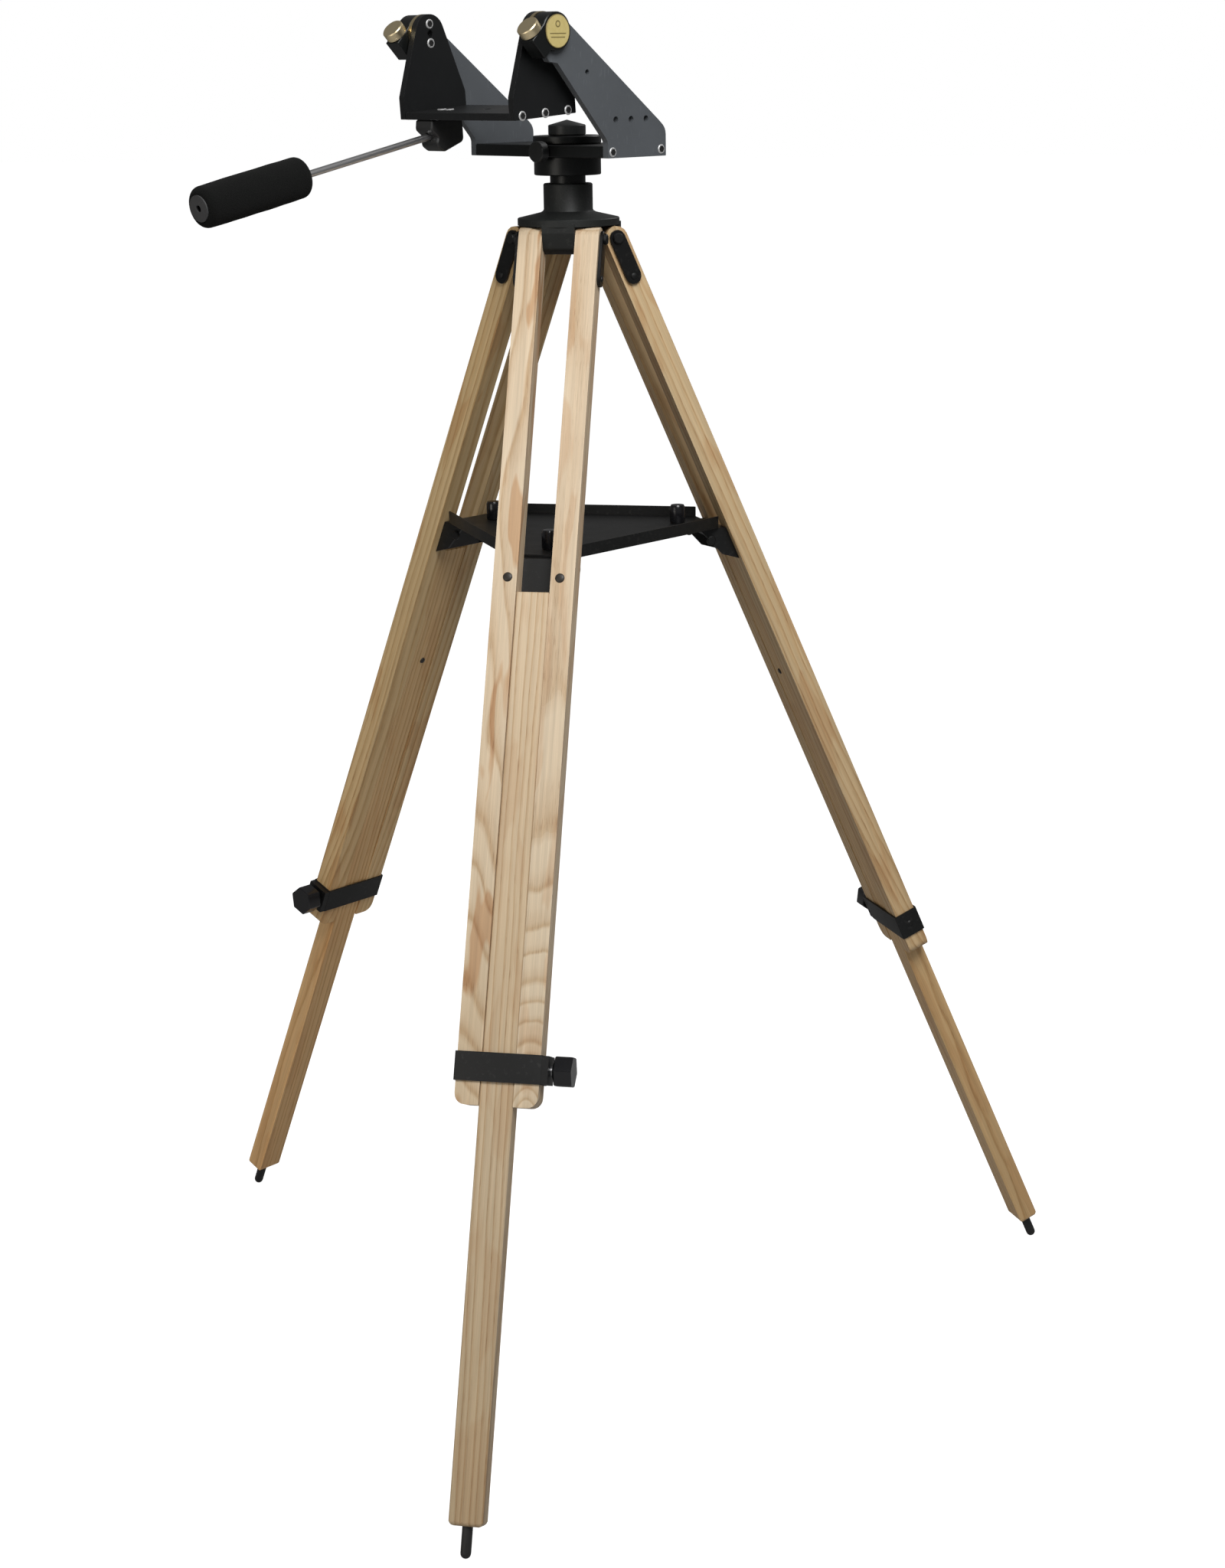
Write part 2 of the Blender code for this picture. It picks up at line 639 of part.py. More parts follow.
def add_label(look):
    at = head_frame() @ Matrix.Translation((0, -PIVOT_BACK, PIVOT_UP))
    low = HOUSING_OUT + GAP
    disc = [(0, low), (0.0143, low), (0.0143, low + 0.0006), (0.0140, low + 0.0008), (0, low + 0.0008)]
    add("label_disc", turned(disc, 32), toward_x(at), look["brass"])


def stand_on_centre():
    """Moves everything so that the middle of the bounding box is over the origin."""
    bpy.context.view_layer.update()
    graph = bpy.context.evaluated_depsgraph_get()
    points = []
    for obj in bpy.context.scene.objects:
        if obj.hide_render:
            continue
        shape = obj.evaluated_get(graph)
        points += [obj.matrix_world @ vertex.co for vertex in shape.data.vertices]
    low = Vector([min(point[axis] for point in points) for axis in range(3)])
    high = Vector([max(point[axis] for point in points) for axis in range(3)])
    shift = -Vector(((low.x + high.x) / 2, (low.y + high.y) / 2, low.z))
    for obj in bpy.context.scene.objects:
        obj.matrix_world = Matrix.Translation(shift) @ obj.matrix_world


def main():
    clear_scene()
    look = make_materials()
    add_hub(look)
    for side, degrees in LEGS.items():
        frame = leg_frame(degrees)
        add_rails(side, frame, look)
        add_pivot(side, frame, look)
        add_lower_leg(side, frame, look)
        add_clamp(side, frame, look)
        add_bracket(side, degrees, look)
    add_tray(look)
    add_azimuth(look)
    for side, sign in SIDES.items():
        add_fork_side(side, sign, look)
        add_cradle_side(side, sign, look)
    add_platform(look)
    add_handle(look)
    add_label(look)
    stand_on_centre()


main()
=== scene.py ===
"""Looks of the alt azimuth mount on its wooden tripod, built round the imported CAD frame. Metres, +Z up."""

import json
import math

import bmesh
import bpy
from mathutils import Matrix, Vector, noise


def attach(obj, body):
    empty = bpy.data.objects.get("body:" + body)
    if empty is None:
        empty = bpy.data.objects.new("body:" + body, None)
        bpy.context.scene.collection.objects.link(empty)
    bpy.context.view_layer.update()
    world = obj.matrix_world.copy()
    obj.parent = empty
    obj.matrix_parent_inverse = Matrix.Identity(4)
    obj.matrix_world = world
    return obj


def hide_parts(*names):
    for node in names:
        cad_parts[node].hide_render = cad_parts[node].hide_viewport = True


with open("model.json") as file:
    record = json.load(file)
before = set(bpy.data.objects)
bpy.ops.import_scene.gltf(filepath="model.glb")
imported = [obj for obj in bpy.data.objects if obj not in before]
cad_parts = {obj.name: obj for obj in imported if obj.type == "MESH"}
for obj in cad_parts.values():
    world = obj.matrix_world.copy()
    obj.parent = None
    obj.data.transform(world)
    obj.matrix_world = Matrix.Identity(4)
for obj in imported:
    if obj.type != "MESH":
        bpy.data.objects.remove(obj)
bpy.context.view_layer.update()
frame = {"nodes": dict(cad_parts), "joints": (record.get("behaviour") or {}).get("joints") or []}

NODES = frame["nodes"]
JOINTS = {joint["name"]: joint for joint in frame["joints"]}
SIDES = {"right": 1, "left": -1}
LEGS = ("front", "right", "left")

# Sizes repeated from the CAD
RAIL_DEPTH = 0.0214
LOWER_DEPTH = 0.020
KNOB_DOWN = 0.7583
KNOB_OUT = 0.055
PLATE_OUTER = 0.0408
CRADLE_TILT = math.radians(3.8)
CRADLE_INNER = 0.068
CRADLE_OUTER = 0.0743
CRADLE_DROP = 0.0725
PLATFORM_T = 0.00635
ARM_OUTER = 0.0895
HOUSING_OUTER = 0.0956
GRIP_DROOP = math.radians(7.2)
GRIP_START = (-0.045, -0.0330, -0.0880)
GRIP_FROM = 0.1505
GRIP_LENGTH = 0.113
GRIP_RADIUS = 0.018
ROD_RADIUS = 0.003175
COLLAR_BOSS = 0.045
COLLAR_SIDE = 0.0394
BRACKET_HALF = 0.030
BRACKET_BOLT_OUT = 0.128
BRACKET_BOLT_Z = 0.790

# Where the added screws sit: in the head's frame, the cradle's frame, and down each leg
ARM_SCREWS_Y_Z = ((-0.0315, 0.0052), (0.0312, 0.0060))
SHAFT_SCREWS_Z = (0.0084, -0.0084)
PLATE_SCREWS_Y = (-0.028, 0.0, 0.028)
PLATE_SCREW_Z = -0.0692
PLATFORM_SCREWS_X = (-0.050, -0.040)
PLATFORM_SCREW_Y = -0.009
RAIL_SCREW_OUT = 0.024
RAIL_SCREW_DOWN = 0.320
PLATE_STUD_DOWN = 0.038
STOP_SCREW_DOWN = 0.465

# Outlines of turned heads, as (radius, height)
BUTTON_HEAD = [(0.0, 0.0011), (0.0020, 0.00105), (0.0036, 0.0007), (0.0043, 0.0002), (0.0044, -0.0003),
               (0.0, -0.0003)]
SMALL_HEAD = [(0.0, 0.0014), (0.0016, 0.0013), (0.0027, 0.0009), (0.0031, 0.0), (0.0, 0.0)]
BOLT_HEAD = [(0.0, 0.0030), (0.0034, 0.0028), (0.0044, 0.0018), (0.0045, 0.0), (0.0, 0.0)]
RIVET_HEAD = [(0.0, 0.0012), (0.0020, 0.0010), (0.0032, 0.0), (0.0, -0.0001)]
STUD_THREAD = [(0.0, 0.0002), (0.0042, 0.0002), (0.0042, 0.0023), (0.0, 0.0023)]

# The cap screws' heads
CAP_HEAD = {"radius": 0.0043, "height": 0.0008, "across": 0.0054, "depth": 0.0007}

# The foam grip
FOAM_GAP = 0.0004
FOAM_CORNER = 0.0055
FOAM_FULLNESS = 0.0003
FOAM_STEPS = 40
CORNER_STEPS = 6

# The camera: millimetres, radians, and metres from the azimuth axis at floor level
CAMERA_LENS = 64.11
CAMERA_SENSOR = 36
CAMERA_YAW, CAMERA_PITCH, CAMERA_ROLL = 0.2027, 0.2579, -0.0142
CAMERA_OFFSET = (0.5633063, -2.5752994, 1.2482581)

# The stage: what the camera sees of it, and how much it lights the object
BACKDROP_LIGHT = 0.17
BACKDROP_SEEN = 1.0
FLOOR_GLOW_SEEN = 0.96
FLOOR_HALF = 30
FLOOR_Z = -0.0003


# ---------------------------------------------------------------- frames


def columns(x, y, z, at):
    made = Matrix((x, y, z)).transposed().to_4x4()
    made.translation = at
    return made


def leg_frame(side):
    """X across the leg, Y out of its outer face, Z down the leg, from the pivot bolt."""
    across = Vector(JOINTS[f"clamp_knob_{side}_turn"]["axis"])
    down = Vector(JOINTS[f"leg_slide_{side}"]["axis"])
    knob = Vector(JOINTS[f"clamp_knob_{side}_turn"]["pos_m"])
    pivot = knob - across * KNOB_OUT - down * KNOB_DOWN
    return columns(across, down.cross(across), down, pivot)


def head_frame():
    across = Vector(JOINTS["altitude_tilt"]["axis"])
    up = Vector((0, 0, 1))
    return columns(across, up.cross(across), up, Vector(JOINTS["azimuth_turn"]["pos_m"]))


def pivot_frame():
    made = head_frame()
    made.translation = Vector(JOINTS["altitude_tilt"]["pos_m"])
    return made


LEG = {side: leg_frame(side) for side in LEGS}
HEAD = head_frame()
PIVOT = pivot_frame()
CRADLE = PIVOT @ Matrix.Rotation(CRADLE_TILT, 4, "X")
HANDLE = CRADLE @ Matrix.Translation(GRIP_START) @ Matrix.Rotation(math.pi / 2 + GRIP_DROOP, 4, "X")


def facing(where, at, direction):
    """A frame at a point of another, with Z along a direction of that frame."""
    turn = Vector(direction).to_track_quat("Z", "Y").to_matrix().to_4x4()
    return where @ Matrix.Translation(at) @ turn


# ---------------------------------------------------------------- node helpers


class Graph:
    """A node tree being written: values that are sockets get linked, the rest are set."""

    def __init__(self, tree):
        self.tree = tree

    def add(self, kind, inputs=None, out=0, **settings):
        made = self.tree.nodes.new(kind)
        for name, value in settings.items():
            setattr(made, name, value)
        for name, value in (inputs or {}).items():
            socket = made.inputs[name]
            if isinstance(value, bpy.types.NodeSocket):
                self.tree.links.new(value, socket)
            else:
                socket.default_value = value
        return made.outputs[out]

    def math(self, operation, *values, clamp=False):
        return self.add("ShaderNodeMath", dict(enumerate(values)), operation=operation, use_clamp=clamp)

    def vector(self, operation, *values, out=0):
        return self.add("ShaderNodeVectorMath", dict(enumerate(values)), out, operation=operation)

    def noise(self, where, scale, detail=2.0, roughness=0.5, distortion=0.0):
        inputs = {"Vector": where, "Scale": scale, "Detail": detail, "Roughness": roughness,
                  "Distortion": distortion}
        return self.add("ShaderNodeTexNoise", inputs)

    def scaled(self, value, by):
        return self.add("ShaderNodeVectorMath", {0: value, "Scale": by}, operation="SCALE")

    def stretch(self, where, x, y, z):
        return self.vector("MULTIPLY", where, (x, y, z))

    def ramp(self, value, *stops):
        """A grey ramp from (position, grey) stops."""
        made = self.tree.nodes.new("ShaderNodeValToRGB")
        ramp = made.color_ramp
        for k, (position, grey) in enumerate(stops):
            stop = ramp.elements[k] if k < 2 else ramp.elements.new(position)
            stop.position = position
            stop.color = (grey, grey, grey, 1)
        self.tree.links.new(value, made.inputs[0])
        return made.outputs[0]

    def mix(self, share, first, second, blend="MIX"):
        made = self.tree.nodes.new("ShaderNodeMix")
        made.data_type = "RGBA"
        made.blend_type = blend
        for socket, value in ((made.inputs[0], share), (made.inputs[6], first), (made.inputs[7], second)):
            if isinstance(value, bpy.types.NodeSocket):
                self.tree.links.new(value, socket)
            else:
                socket.default_value = value
        return made.outputs[2]

    def between(self, value, low, high):
        """Spreads 0..1 to low..high."""
        inputs = {0: value, 3: low, 4: high}
        return self.add("ShaderNodeMapRange", inputs)

    def bump(self, height, distance, strength=1.0):
        return self.add("ShaderNodeBump", {"Height": height, "Distance": distance, "Strength": strength})


def new_material(name):
    made = bpy.data.materials.new(name)
    made.use_nodes = True
    return made, Graph(made.node_tree), made.node_tree.nodes["Principled BSDF"]


def connect(graph, shader, **inputs):
    for name, value in inputs.items():
        socket = shader.inputs[name.replace("_", " ")]
        if isinstance(value, bpy.types.NodeSocket):
            graph.tree.links.new(value, socket)
        else:
            socket.default_value = value


def rgb(red, green, blue):
    return (red, green, blue, 1)


def object_coordinates(graph):
    return graph.add("ShaderNodeTexCoord", out="Object")


# ---------------------------------------------------------------- wood

CLOUD_TINT = rgb(0.90, 0.84, 0.76)
STAIN_TINT = rgb(0.80, 0.62, 0.48)
RING_TINT = rgb(0.68, 0.54, 0.39)
PORE_TINT = rgb(0.48, 0.34, 0.22)
RIPPLE = 0.0020
UNEVEN_RINGS = 1.1


def make_ash_group():
    """Ash: rings round a pith that runs nearly along the board, pores, fibres and warm stain."""
    group = bpy.data.node_groups.new("ash", "ShaderNodeTree")
    face = group.interface
    for name, kind in (("Point", "NodeSocketVector"), ("Shift", "NodeSocketVector"),
                       ("Pith", "NodeSocketVector"), ("Lean", "NodeSocketVector"),
                       ("Curl", "NodeSocketFloat"), ("Pitch", "NodeSocketFloat"),
                       ("Wave", "NodeSocketFloat"), ("Stain", "NodeSocketFloat"),
                       ("Tone", "NodeSocketColor")):
        face.new_socket(name, in_out="INPUT", socket_type=kind)
    for name, kind in (("Color", "NodeSocketColor"), ("Height", "NodeSocketFloat"),
                       ("Roughness", "NodeSocketFloat")):
        face.new_socket(name, in_out="OUTPUT", socket_type=kind)
    g = Graph(group)
    given = group.nodes.new("NodeGroupInput").outputs
    result = group.nodes.new("NodeGroupOutput").inputs
    point = given["Point"]
    moved = g.vector("ADD", point, given["Shift"])

    down = g.add("ShaderNodeSeparateXYZ", {0: point}, 2)
    lean = g.scaled(given["Lean"], down)
    curl = g.math("MULTIPLY", g.math("POWER", g.math("MAXIMUM", down, 0.0), 6.0), given["Curl"])
    bend = g.vector("ADD", lean, g.add("ShaderNodeCombineXYZ", {1: curl}))
    across = g.stretch(g.vector("SUBTRACT", g.vector("SUBTRACT", point, given["Pith"]), bend), 1, 1, 0)
    radius = g.vector("LENGTH", across, out="Value")
    slow = g.noise(g.stretch(moved, 12, 12, 2.6), 1.0, 2.0, 0.5)
    quick = g.noise(g.stretch(moved, 60, 60, 14), 1.0, 2.0, 0.5)
    wobble = g.math("MULTIPLY", g.math("SUBTRACT", slow, 0.5), given["Wave"])
    ripple = g.math("MULTIPLY", g.math("SUBTRACT", quick, 0.5), RIPPLE)
    ring = g.math("DIVIDE", g.math("ADD", g.math("ADD", radius, wobble), ripple), given["Pitch"])
    uneven = g.noise(g.add("ShaderNodeCombineXYZ", {0: ring}), 0.7, 1.0)
    ring = g.math("ADD", ring, g.math("MULTIPLY", uneven, UNEVEN_RINGS))
    phase = g.math("FRACT", ring)
    band = g.ramp(phase, (0.0, 0.8), (0.07, 1.0), (0.22, 0.5), (0.48, 0.12), (0.90, 0.0), (1.0, 0.6))
    strength = g.noise(g.stretch(moved, 40, 40, 4), 1.0, 2.0)
    band = g.math("MULTIPLY", band, g.between(strength, 0.35, 1.15))

    fibre = g.noise(g.stretch(moved, 900, 900, 9), 1.0, 3.0, 0.6)
    pores = g.noise(g.stretch(moved, 1500, 1500, 60), 1.0, 1.0)
    pores = g.math("MULTIPLY", g.ramp(pores, (0.57, 0.0), (0.68, 1.0)), band)
    cloud = g.noise(g.stretch(moved, 16, 16, 4), 1.0, 2.0)
    patch = g.noise(g.stretch(moved, 60, 60, 11), 1.0, 1.5, 0.45, 0.6)
    patch = g.math("MULTIPLY", g.ramp(patch, (0.54, 0.0), (0.60, 1.0)), given["Stain"])

    colour = g.mix(g.between(cloud, 0.0, 1.3), given["Tone"], CLOUD_TINT, "MULTIPLY")
    colour = g.mix(g.math("MULTIPLY", patch, 0.90), colour, STAIN_TINT, "MULTIPLY")
    colour = g.mix(g.math("MULTIPLY", band, 0.90), colour, RING_TINT, "MULTIPLY")
    colour = g.mix(g.math("MULTIPLY", pores, 0.65), colour, PORE_TINT, "MULTIPLY")
    streak = g.noise(g.stretch(moved, 300, 300, 3.5), 1.0, 3.0, 0.65)
    fine = g.math("MULTIPLY", g.between(fibre, 0.76, 1.16), g.between(streak, 0.80, 1.20))
    colour = g.mix(1.0, colour, g.add("ShaderNodeCombineColor", {0: fine, 1: fine, 2: fine}), "MULTIPLY")

    height = g.math("SUBTRACT", g.math("MULTIPLY", fibre, 0.35), g.math("MULTIPLY", pores, 0.8))
    height = g.math("SUBTRACT", height, g.math("MULTIPLY", band, 0.35))
    rough = g.math("ADD", g.math("MULTIPLY", band, 0.10), g.between(fibre, 0.40, 0.52))
    g.tree.links.new(colour, result["Color"])
    g.tree.links.new(height, result["Height"])
    g.tree.links.new(rough, result["Roughness"])
    return group


ASH = make_ash_group()

# Painted shading down each leg: between these depths below its pivot bolt the tone is scaled, darker on the
# front leg and lighter on the left, standing in for how the light falls along the legs
FADE_FROM, FADE_TO = 0.35, 1.15
LOW_PAINTED_SHADING = {"front": (0.78, 0.76, 0.70), "right": (1.03, 0.99, 0.94), "left": (1.28, 1.16, 1.04)}

WOODS = {
    "front": {
        "rail_a": dict(shift=(0.3, 1.1, 0.0), pith=(-0.045, -0.060, 0), lean=(0.010, 0.010, 0), curl=0.15,
                       pitch=0.0075, wave=0.050, stain=1.0, tone=(0.70, 0.585, 0.435)),
        "rail_b": dict(shift=(1.7, 0.4, 0.6), pith=(0.024, -0.0677, 0), lean=(0.004, 0.010, 0), curl=0.26,
                       pitch=0.0056, wave=0.016, stain=0.45, tone=(0.73, 0.625, 0.480)),
        "lower": dict(shift=(2.9, 3.3, 0.2), pith=(-0.160, -0.030, 0), lean=(0.006, 0.0, 0), curl=0.0,
                      pitch=0.0058, wave=0.010, stain=0.30, tone=(0.69, 0.565, 0.405)),
    },
    "right": {
        "rail_a": dict(shift=(4.1, 0.9, 0.5), pith=(-0.080, 0.040, 0), lean=(0.0, 0.012, 0), curl=0.08,
                       pitch=0.0060, wave=0.014, stain=0.50, tone=(0.66, 0.510, 0.310)),
        "rail_b": dict(shift=(5.2, 2.4, 0.1), pith=(0.110, -0.050, 0), lean=(-0.010, 0.0, 0), curl=0.08,
                       pitch=0.0060, wave=0.014, stain=0.40, tone=(0.66, 0.505, 0.300)),
        "lower": dict(shift=(6.6, 1.6, 0.9), pith=(-0.150, -0.040, 0), lean=(0.004, 0.0, 0), curl=0.0,
                      pitch=0.0056, wave=0.012, stain=0.35, tone=(0.68, 0.490, 0.265)),
    },
    "left": {
        "rail_a": dict(shift=(7.3, 2.2, 0.4), pith=(-0.090, -0.070, 0), lean=(0.006, 0.0, 0), curl=0.08,
                       pitch=0.0060, wave=0.014, stain=0.45, tone=(0.70, 0.530, 0.300)),
        "rail_b": dict(shift=(8.8, 0.2, 0.7), pith=(0.070, 0.060, 0), lean=(0.0, -0.010, 0), curl=0.08,
                       pitch=0.0060, wave=0.014, stain=0.55, tone=(0.68, 0.510, 0.280)),
        "lower": dict(shift=(9.4, 3.7, 0.3), pith=(0.150, -0.050, 0), lean=(-0.005, 0.0, 0), curl=0.0,
                      pitch=0.0056, wave=0.012, stain=0.30, tone=(0.74, 0.520, 0.270)),
    },
}


def ash_wood(name, side, shift, pith, lean, curl, pitch, wave, stain, tone):
    made, g, shader = new_material(name)
    where = object_coordinates(g)
    place = LEG[side]
    local = g.vector("SUBTRACT", where, tuple(place.translation))
    parts = [g.vector("DOT_PRODUCT", local, tuple(place.col[k].to_3d()), out="Value") for k in range(3)]
    point = g.add("ShaderNodeCombineXYZ", dict(enumerate(parts)))
    grain = made.node_tree.nodes.new("ShaderNodeGroup")
    grain.node_tree = ASH
    made.node_tree.links.new(point, grain.inputs["Point"])
    values = {"Shift": shift, "Pith": pith, "Lean": lean, "Curl": curl, "Pitch": pitch, "Wave": wave,
              "Stain": stain}
    for key, value in values.items():
        grain.inputs[key].default_value = value
    # painted shading along the leg: further below the pivot bolt the tone is scaled towards the lower-leg
    # shading colours, darker on the front leg and lighter on the left
    low = g.add("ShaderNodeMapRange", {0: parts[2], 1: FADE_FROM, 2: FADE_TO, 3: 0.0, 4: 1.0})
    painted_low_shading = [c * share for c, share in zip(tone, LOW_PAINTED_SHADING[side])]
    tone_with_painted_shading = g.mix(low, rgb(*tone), rgb(*painted_low_shading))
    made.node_tree.links.new(tone_with_painted_shading, grain.inputs["Tone"])
    relief = g.bump(grain.outputs["Height"], 0.00025, 0.6)
    connect(g, shader, Base_Color=grain.outputs["Color"], Roughness=grain.outputs["Roughness"],
            Normal=relief, Specular_IOR_Level=0.4)
    return made


# ---------------------------------------------------------------- metals, plastics, foam


def painted(name, colour, roughness, grain=900.0, depth=0.00006, lift=1.35):
    """Satin paint with fine orange peel, cloudy gloss and a slight dust on it."""
    made, g, shader = new_material(name)
    where = object_coordinates(g)
    peel = g.noise(where, grain, 3.0, 0.6)
    cloud = g.noise(where, 28.0, 3.0, 0.6)
    dust = g.ramp(g.noise(where, 260.0, 2.0), (0.60, 0.0), (0.72, 1.0))
    light = rgb(*[min(1, c * lift) for c in colour])
    base = g.mix(cloud, rgb(*colour), light)
    base = g.mix(g.math("MULTIPLY", dust, 0.03), base, rgb(0.30, 0.29, 0.27))
    rough = g.between(cloud, roughness - 0.07, roughness + 0.09)
    connect(g, shader, Base_Color=base, Roughness=rough, Normal=g.bump(peel, depth, 0.7),
            Specular_IOR_Level=0.35)
    return made


def anodised(name, colour, roughness, metallic=0.35, lift=1.25):
    """Blasted and anodised aluminium: a fine even tooth with faint handling marks."""
    made, g, shader = new_material(name)
    where = object_coordinates(g)
    tooth = g.noise(where, 2200.0, 2.0, 0.7)
    cloud = g.noise(where, 22.0, 4.0, 0.65)
    marks = g.noise(g.vector("MULTIPLY", where, (420, 420, 90)), 1.0, 2.0)
    marks = g.ramp(marks, (0.64, 0.0), (0.70, 1.0))
    base = g.mix(cloud, rgb(*colour), rgb(*[c * lift for c in colour]))
    base = g.mix(g.math("MULTIPLY", marks, 0.25), base, rgb(*[c * 2.0 for c in colour]))
    rough = g.between(cloud, roughness - 0.06, roughness + 0.10)
    connect(g, shader, Base_Color=base, Metallic=metallic, Roughness=rough,
            Normal=g.bump(tooth, 0.00003, 0.5))
    return made


def turned_metal(name, colour, roughness, origin, axis, lines=5200.0, depth=0.000012):
    """Bright metal from the lathe: rings along the axis and rings across the face."""
    made, g, shader = new_material(name)
    where = g.vector("SUBTRACT", object_coordinates(g), tuple(origin))
    along = g.vector("DOT_PRODUCT", where, tuple(axis), out="Value")
    spine = g.scaled(tuple(axis), along)
    out = g.vector("LENGTH", g.vector("SUBTRACT", where, spine), out="Value")
    rings = g.add("ShaderNodeCombineXYZ", {0: g.math("MULTIPLY", along, lines),
                                           1: g.math("MULTIPLY", out, lines)})
    tool = g.noise(rings, 1.0, 2.0, 0.6)
    cloud = g.noise(where, 180.0, 3.0, 0.6)
    base = g.mix(cloud, rgb(*colour), rgb(*[c * 0.82 for c in colour]))
    rough = g.math("ADD", g.between(tool, roughness - 0.05, roughness + 0.06), g.between(cloud, -0.03, 0.05))
    connect(g, shader, Base_Color=base, Metallic=1.0, Roughness=rough, Normal=g.bump(tool, depth, 0.6))
    return made


def bright_steel(name, colour, roughness, metallic=1.0):
    made, g, shader = new_material(name)
    where = object_coordinates(g)
    cloud = g.noise(where, 240.0, 3.0, 0.6)
    base = g.mix(cloud, rgb(*colour), rgb(*[c * 0.75 for c in colour]))
    connect(g, shader, Base_Color=base, Metallic=metallic,
            Roughness=g.between(cloud, roughness - 0.05, roughness + 0.1))
    return made


def moulded(name, colour, roughness, grain=1400.0):
    made, g, shader = new_material(name)
    where = object_coordinates(g)
    fine = g.noise(where, grain, 2.0, 0.6)
    cloud = g.noise(where, 60.0, 3.0, 0.6)
    base = g.mix(cloud, rgb(*colour), rgb(*[c * 1.4 for c in colour]))
    connect(g, shader, Base_Color=base, Roughness=g.between(cloud, roughness - 0.05, roughness + 0.10),
            Normal=g.bump(fine, 0.00002, 0.5))
    return made


def foam(name):
    """Closed-cell foam: small cells with painted shade in their pits, a few open ones, and a dusty sheen."""
    made, g, shader = new_material(name)
    where = object_coordinates(g)
    cells = g.add("ShaderNodeTexVoronoi", {"Vector": where, "Scale": 1150.0})
    big = g.ramp(g.noise(where, 420.0, 2.0), (0.62, 0.0), (0.74, 1.0))
    cloud = g.noise(where, 35.0, 3.0, 0.6)
    height = g.math("SUBTRACT", cells, g.math("MULTIPLY", big, 0.7))
    # painted shade: the colour is darker at the cell centres, where the bump dips, and lighter on the cell
    # rims
    painted_pit_shade = g.math("MULTIPLY", cells, 0.8, clamp=True)
    base = g.mix(painted_pit_shade, rgb(0.0015, 0.0015, 0.0015), rgb(0.006, 0.0065, 0.006))
    base = g.mix(g.math("MULTIPLY", cloud, 0.3), base, rgb(0.008, 0.0085, 0.008))
    connect(g, shader, Base_Color=base, Roughness=0.95, Specular_IOR_Level=0.12,
            Normal=g.bump(height, 0.00035, 0.8))
    shader.inputs["Sheen Weight"].default_value = 0.02
    shader.inputs["Sheen Roughness"].default_value = 0.6
    return made


def label_metal(name, centre, up):
    """A gold-coloured plate with a printed border and a plain mark of a ring over two bars."""
    made, g, shader = new_material(name)
    where = g.vector("SUBTRACT", object_coordinates(g), tuple(centre))
    out = g.vector("LENGTH", where, out="Value")
    high = g.vector("DOT_PRODUCT", where, tuple(up), out="Value")
    border = g.math("GREATER_THAN", out, 0.0136)
    bars = g.math("MAXIMUM", g.math("COMPARE", high, -0.0020, 0.0005),
                  g.math("COMPARE", high, -0.0052, 0.0005))
    bars = g.math("MULTIPLY", bars, g.math("LESS_THAN", out, 0.0100))
    upper = g.math("SUBTRACT", high, 0.0060)
    side = g.vector("DOT_PRODUCT", where, tuple(ACROSS.cross(Vector((0, 0, 1)))), out="Value")
    ring = g.math("SQRT", g.math("ADD", g.math("POWER", upper, 2.0), g.math("POWER", side, 2.0)))
    ring = g.math("COMPARE", ring, 0.0024, 0.0006)
    ink = g.math("MAXIMUM", g.math("MAXIMUM", border, bars), ring)
    cloud = g.noise(where, 300.0, 3.0, 0.6)
    base = g.mix(cloud, rgb(0.58, 0.46, 0.16), rgb(0.72, 0.60, 0.27))
    base = g.mix(g.math("MULTIPLY", ink, 0.75), base, rgb(0.10, 0.07, 0.02))
    connect(g, shader, Base_Color=base, Metallic=0.25, Roughness=g.between(cloud, 0.36, 0.46))
    return made


# ---------------------------------------------------------------- meshes


def smooth_modifier():
    """Joins the loose facets of a CAD node and shades its shallow edges smooth."""
    group = bpy.data.node_groups.new("soft_normals", "GeometryNodeTree")
    group.interface.new_socket("Geometry", in_out="INPUT", socket_type="NodeSocketGeometry")
    group.interface.new_socket("Geometry", in_out="OUTPUT", socket_type="NodeSocketGeometry")
    g = Graph(group)
    source = group.nodes.new("NodeGroupInput").outputs[0]
    merged = g.add("GeometryNodeMergeByDistance", {"Geometry": source, "Distance": 0.000004})
    plain = g.add("GeometryNodeRemoveAttribute", {"Geometry": merged, "Name": "custom_normal"})
    round_all = g.add("GeometryNodeSetShadeSmooth", {"Geometry": plain, "Shade Smooth": True})
    angle = g.add("GeometryNodeInputMeshEdgeAngle")
    crisp = g.add("FunctionNodeCompare", {0: angle, 1: math.radians(30)}, operation="GREATER_THAN")
    sharp = g.add("GeometryNodeSetShadeSmooth",
                  {"Geometry": round_all, "Selection": crisp, "Shade Smooth": False}, domain="EDGE")
    end = group.nodes.new("NodeGroupOutput")
    group.links.new(sharp, end.inputs[0])
    return group


SOFT = smooth_modifier()


def dress(node, surface):
    obj = NODES[node]
    for place in obj.material_slots:
        place.material = surface
    soft = obj.modifiers.new("soft_normals", "NODES")
    soft.node_group = SOFT


def turned(profile, steps=48):
    mesh = bmesh.new()
    verts = [mesh.verts.new((radius, 0, height)) for radius, height in profile]
    edges = [mesh.edges.new(pair) for pair in zip(verts, verts[1:])]
    bmesh.ops.spin(mesh, geom=verts + edges, cent=(0, 0, 0), axis=(0, 0, 1), angle=math.tau, steps=steps,
                   use_merge=True)
    bmesh.ops.remove_doubles(mesh, verts=mesh.verts, dist=1e-7)
    bmesh.ops.recalc_face_normals(mesh, faces=mesh.faces)
    return mesh


